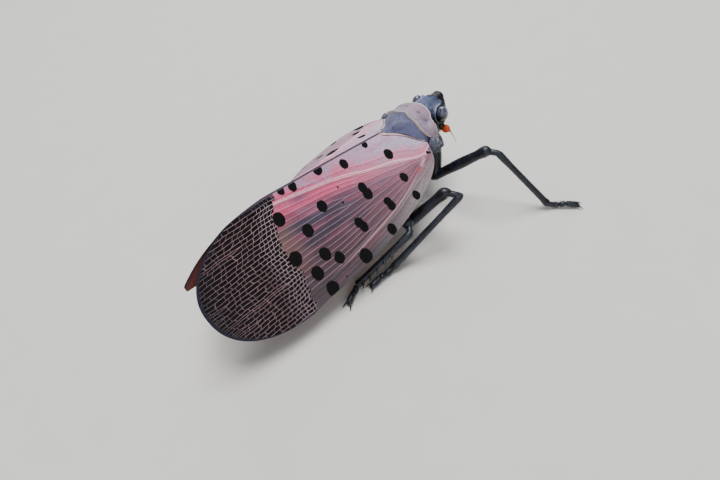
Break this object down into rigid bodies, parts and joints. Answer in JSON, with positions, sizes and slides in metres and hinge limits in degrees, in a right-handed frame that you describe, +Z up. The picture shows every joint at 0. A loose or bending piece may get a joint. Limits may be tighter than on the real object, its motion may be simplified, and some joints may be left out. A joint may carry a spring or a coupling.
{
  "type": "spotted lanternfly model",
  "caption": "Life-size still model of an adult spotted lanternfly standing with its spotted, net-veined forewings folded like a roof over the body.",
  "frame": {"origin": "on the floor, under the middle of the whole outline", "axes": "+X towards the head, +Y towards the animal's left, +Z up"},
  "size_m": [0.0282, 0.022, 0.009],
  "materials": {
    "slate_cuticle": "waxy blue-grey cuticle",
    "pronotum_cuticle": "pinkish grey cuticle, satin",
    "leg_cuticle": "black cuticle with a bluish bloom",
    "eye_lens": "dark, glossy, finely faceted",
    "antenna_bulb": "orange, finely pitted",
    "forewing_membrane": "leathery pink-grey membrane, black spots and net veins",
    "hindwing_membrane": "red membrane, black spots, white band, black tip",
    "abdomen_cuticle": "yellow cuticle with black bands"
  },
  "bodies": {
    "root": {"abdomen": "abdomen_cuticle", "antenna_left": "antenna_bulb", "antenna_right": "antenna_bulb", "eye_left": "eye_lens", "eye_right": "eye_lens", "femur_fore_left": "leg_cuticle", "femur_fore_right": "leg_cuticle", "femur_hind_left": "leg_cuticle", "femur_hind_right": "leg_cuticle", "femur_mid_left": "leg_cuticle", "femur_mid_right": "leg_cuticle", "forewing_left": "forewing_membrane", "forewing_right": "forewing_membrane", "head": "slate_cuticle", "hindwing_left": "hindwing_membrane", "hindwing_right": "hindwing_membrane", "mesonotum": "slate_cuticle", "pronotum": "pronotum_cuticle", "rostrum": "leg_cuticle", "tarsus_fore_left": "leg_cuticle", "tarsus_fore_right": "leg_cuticle", "tarsus_hind_left": "leg_cuticle", "tarsus_hind_right": "leg_cuticle", "tarsus_mid_left": "leg_cuticle", "tarsus_mid_right": "leg_cuticle", "tegula_left": "slate_cuticle", "tegula_right": "slate_cuticle", "thorax": "slate_cuticle", "tibia_fore_left": "leg_cuticle", "tibia_fore_right": "leg_cuticle", "tibia_hind_left": "leg_cuticle", "tibia_hind_right": "leg_cuticle", "tibia_mid_left": "leg_cuticle", "tibia_mid_right": "leg_cuticle"}
  },
  "joints": []
}
